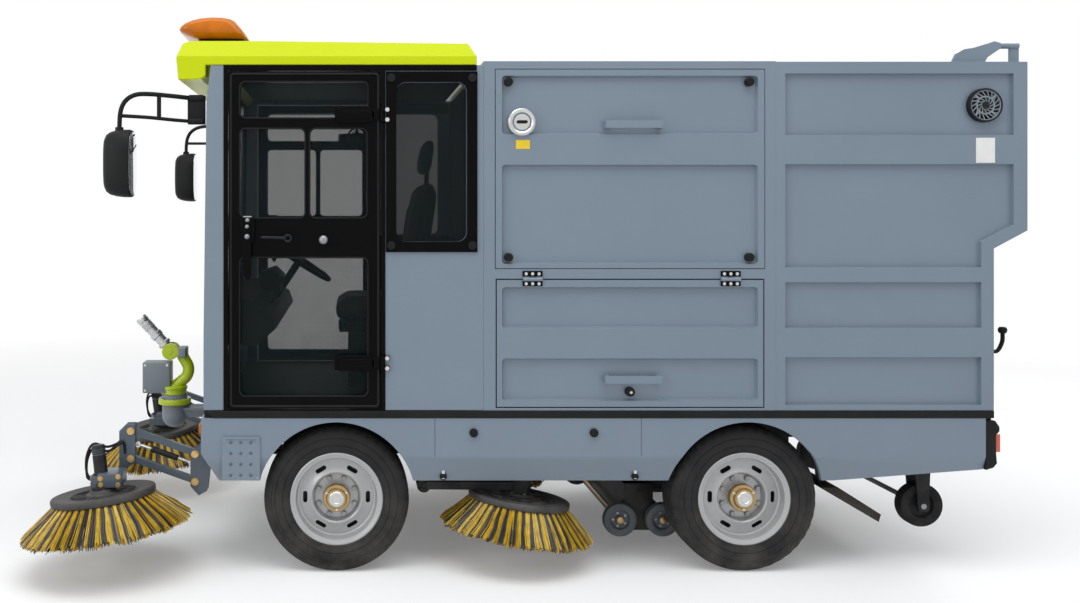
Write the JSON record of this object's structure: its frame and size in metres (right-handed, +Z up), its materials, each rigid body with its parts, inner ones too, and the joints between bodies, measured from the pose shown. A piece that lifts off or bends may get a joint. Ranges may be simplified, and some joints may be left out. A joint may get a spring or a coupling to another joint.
{
  "type": "road sweeper vehicle",
  "caption": "Compact cab-forward road sweeper with side-hung disc brushes ahead of and between the axles, a suction nozzle, a rear hopper with lifting gate and a front water monitor.",
  "frame": {"origin": "on the ground under the centre of the bounding box", "axes": "+X forward (length), +Y to the machine's left, +Z up"},
  "size_m": [4.23, 2.0722, 2.386],
  "materials": {
    "frame_black": "satin black enamel on steel",
    "body_grey": "blue-grey two-pack paint, semi-gloss",
    "trim_black": "grained black plastic",
    "roof_green": "yellow-green gelcoat, glossy",
    "window_glass": "clear safety glass",
    "door_black": "gloss black powder coat",
    "beacon_amber": "amber lens plastic",
    "lamp_lens": "lens plastic",
    "seat_cover": "woven seat cloth",
    "battery_case": "moulded battery case",
    "steel_dark": "zinc-coated steel",
    "tyre_rubber": "black tyre rubber",
    "rim_silver": "silver wheel paint",
    "bristle": "polypropylene bristle on a plastic disc",
    "roller_grey": "grey solid rubber tread",
    "monitor_green": "yellow-green enamel",
    "monitor_silver": "machined aluminium",
    "monitor_grey": "grey housing"
  },
  "bodies": {
    "chassis": {"ladder_frame": "frame_black", "front_beam": "frame_black", "deck": "frame_black", "sill_and_bumper": "trim_black", "skirts": "body_grey", "cab_shell": "body_grey", "quarter_frames": "door_black", "cab_glass": "window_glass", "roof_cap": "roof_green", "light_bar": "beacon_amber", "dashboard": "trim_black", "seat_base": "frame_black", "seat": "seat_cover", "mid_body": "body_grey", "upper_panels": "body_grey", "battery_block": "battery_case", "hopper": "body_grey", "lamps": "lamp_lens", "fixing_knobs": "trim_black", "mirrors": "trim_black", "front_axle": "frame_black", "rear_axle": "frame_black", "monitor_base": "monitor_grey"},
    "door_left": {"door_left": "door_black", "door_glass_left": "window_glass"},
    "locker_door_left": {"locker_door_left": "body_grey"},
    "knuckle_left": {"knuckle_left": "frame_black"},
    "wheel_front_left": {"tyre_front_left": "tyre_rubber", "rim_front_left": "rim_silver"},
    "wheel_rear_left": {"tyre_rear_left": "tyre_rubber", "rim_rear_left": "rim_silver"},
    "lower_link_left": {"lower_link_left": "frame_black"},
    "upper_link_left": {"upper_link_left": "frame_black"},
    "carrier_left": {"carrier_left": "frame_black"},
    "front_brush_left": {"front_brush_left": "bristle"},
    "mid_arm_left": {"mid_arm_left": "frame_black"},
    "mid_brush_left": {"mid_brush_left": "bristle"},
    "door_right": {"door_right": "door_black", "door_glass_right": "window_glass"},
    "locker_door_right": {"locker_door_right": "body_grey"},
    "knuckle_right": {"knuckle_right": "frame_black"},
    "wheel_front_right": {"tyre_front_right": "tyre_rubber", "rim_front_right": "rim_silver"},
    "wheel_rear_right": {"tyre_rear_right": "tyre_rubber", "rim_rear_right": "rim_silver"},
    "lower_link_right": {"lower_link_right": "frame_black"},
    "upper_link_right": {"upper_link_right": "frame_black"},
    "carrier_right": {"carrier_right": "frame_black"},
    "front_brush_right": {"front_brush_right": "bristle"},
    "mid_arm_right": {"mid_arm_right": "frame_black"},
    "mid_brush_right": {"mid_brush_right": "bristle"},
    "tie_rod": {"tie_rod": "steel_dark"},
    "tailgate": {"tailgate": "body_grey"},
    "monitor_yoke": {"monitor_yoke": "monitor_green"},
    "monitor_barrel": {"monitor_barrel": "monitor_silver"},
    "suction_nozzle": {"suction_nozzle": "frame_black"},
    "nozzle_wheels_front": {"nozzle_wheels_front": "roller_grey"},
    "nozzle_wheels_rear": {"nozzle_wheels_rear": "roller_grey"},
    "rear_rollers": {"rear_rollers": "roller_grey"}
  },
  "joints": [
    {"name": "door_left_swing", "type": "hinge", "parent": "chassis", "child": "door_left", "pos_m": [0.596, 0.735, 1.4], "axis": [0, 0, 1], "range_deg": [0, 100]},
    {"name": "locker_left_lift", "type": "hinge", "parent": "chassis", "child": "locker_door_left", "pos_m": [-0.45, 0.733, 1.244], "axis": [1, 0, 0], "range_deg": [0, 100]},
    {"name": "steer_left", "type": "hinge", "parent": "chassis", "child": "knuckle_left", "pos_m": [0.788, 0.5375, 0.309], "axis": [0, 0, 1], "range_deg": [-30, 30]},
    {"name": "wheel_front_left_spin", "type": "hinge", "parent": "knuckle_left", "child": "wheel_front_left", "pos_m": [0.788, 0.6075, 0.309], "axis": [0, 1, 0], "continuous": true},
    {"name": "wheel_rear_left_spin", "type": "hinge", "parent": "chassis", "child": "wheel_rear_left", "pos_m": [-0.942, 0.6075, 0.309], "axis": [0, 1, 0], "continuous": true},
    {"name": "brush_drop_left", "type": "hinge", "parent": "chassis", "child": "lower_link_left", "pos_m": [1.409, 0.52, 0.346], "axis": [0, 1, 0], "range_deg": [0, 24]},
    {"name": "upper_link_left_turn", "type": "hinge", "parent": "chassis", "child": "upper_link_left", "pos_m": [1.409, 0.52, 0.467], "axis": [0, 1, 0], "range_deg": [0, 24]},
    {"name": "carrier_left_level", "type": "hinge", "parent": "lower_link_left", "child": "carrier_left", "pos_m": [1.6905, 0.52, 0.44679], "axis": [0, 1, 0], "range_deg": [-24, 0]},
    {"name": "front_brush_left_spin", "type": "hinge", "parent": "carrier_left", "child": "front_brush_left", "pos_m": [1.76096, 0.68, 0.188], "axis": [0.1285, -0.0692, 0.9893], "continuous": true},
    {"name": "mid_arm_left_drop", "type": "hinge", "parent": "chassis", "child": "mid_arm_left", "pos_m": [0.408, 0.5, 0.33], "axis": [0, -1, 0], "range_deg": [0, 6]},
    {"name": "mid_brush_left_spin", "type": "hinge", "parent": "mid_arm_left", "child": "mid_brush_left", "pos_m": [0.008, 0.54, 0.134], "axis": [-0.1285, -0.0692, 0.9893], "continuous": true},
    {"name": "door_right_swing", "type": "hinge", "parent": "chassis", "child": "door_right", "pos_m": [0.596, -0.735, 1.4], "axis": [0, 0, -1], "range_deg": [0, 100]},
    {"name": "locker_right_lift", "type": "hinge", "parent": "chassis", "child": "locker_door_right", "pos_m": [-0.45, -0.733, 1.244], "axis": [-1, 0, 0], "range_deg": [0, 100]},
    {"name": "steer_right", "type": "hinge", "parent": "chassis", "child": "knuckle_right", "pos_m": [0.788, -0.5375, 0.309], "axis": [0, 0, 1], "range_deg": [-30, 30]},
    {"name": "wheel_front_right_spin", "type": "hinge", "parent": "knuckle_right", "child": "wheel_front_right", "pos_m": [0.788, -0.6075, 0.309], "axis": [0, 1, 0], "continuous": true},
    {"name": "wheel_rear_right_spin", "type": "hinge", "parent": "chassis", "child": "wheel_rear_right", "pos_m": [-0.942, -0.6075, 0.309], "axis": [0, 1, 0], "continuous": true},
    {"name": "brush_drop_right", "type": "hinge", "parent": "chassis", "child": "lower_link_right", "pos_m": [1.409, -0.52, 0.346], "axis": [0, 1, 0], "range_deg": [0, 24]},
    {"name": "upper_link_right_turn", "type": "hinge", "parent": "chassis", "child": "upper_link_right", "pos_m": [1.409, -0.52, 0.467], "axis": [0, 1, 0], "range_deg": [0, 24]},
    {"name": "carrier_right_level", "type": "hinge", "parent": "lower_link_right", "child": "carrier_right", "pos_m": [1.6905, -0.52, 0.44679], "axis": [0, 1, 0], "range_deg": [-24, 0]},
    {"name": "front_brush_right_spin", "type": "hinge", "parent": "carrier_right", "child": "front_brush_right", "pos_m": [1.76096, -0.68, 0.188], "axis": [0.1285, 0.0692, 0.9893], "continuous": true},
    {"name": "mid_arm_right_drop", "type": "hinge", "parent": "chassis", "child": "mid_arm_right", "pos_m": [0.408, -0.5, 0.33], "axis": [0, -1, 0], "range_deg": [0, 6]},
    {"name": "mid_brush_right_spin", "type": "hinge", "parent": "mid_arm_right", "child": "mid_brush_right", "pos_m": [0.008, -0.54, 0.134], "axis": [-0.1285, 0.0692, 0.9893], "continuous": true},
    {"name": "tie_rod_turn", "type": "hinge", "parent": "knuckle_left", "child": "tie_rod", "pos_m": [0.658, 0.5375, 0.241], "axis": [0, 0, 1], "range_deg": [-30, 30]},
    {"name": "tailgate_lift", "type": "hinge", "parent": "chassis", "child": "tailgate", "pos_m": [-2.002, 0, 2.232], "axis": [0, 1, 0], "range_deg": [0, 100]},
    {"name": "monitor_yaw", "type": "hinge", "parent": "chassis", "child": "monitor_yoke", "pos_m": [1.59, 0, 0.64], "axis": [0, 0, 1], "range_deg": [-120, 120]},
    {"name": "monitor_pitch", "type": "hinge", "parent": "monitor_yoke", "child": "monitor_barrel", "pos_m": [1.607, 0, 0.846], "axis": [0, -1, 0], "range_deg": [-45, 30]},
    {"name": "nozzle_drop", "type": "slide", "parent": "chassis", "child": "suction_nozzle", "axis": [0, 0, -1], "range_m": [0, 0.07]},
    {"name": "nozzle_wheels_front_spin", "type": "hinge", "parent": "suction_nozzle", "child": "nozzle_wheels_front", "pos_m": [-0.4765, 0, 0.15], "axis": [0, 1, 0], "continuous": true},
    {"name": "nozzle_wheels_rear_spin", "type": "hinge", "parent": "suction_nozzle", "child": "nozzle_wheels_rear", "pos_m": [-0.6675, 0, 0.15], "axis": [0, 1, 0], "continuous": true},
    {"name": "rear_rollers_spin", "type": "hinge", "parent": "chassis", "child": "rear_rollers", "pos_m": [-1.781, 0, 0.237], "axis": [0, 1, 0], "continuous": true}
  ],
  "couplings": [
    {"joint": "upper_link_left_turn", "follows": "brush_drop_left", "ratio": 1},
    {"joint": "carrier_left_level", "follows": "brush_drop_left", "ratio": -1},
    {"joint": "upper_link_right_turn", "follows": "brush_drop_right", "ratio": 1},
    {"joint": "carrier_right_level", "follows": "brush_drop_right", "ratio": -1},
    {"joint": "steer_right", "follows": "steer_left", "ratio": 1},
    {"joint": "tie_rod_turn", "follows": "steer_left", "ratio": -1}
  ]
}
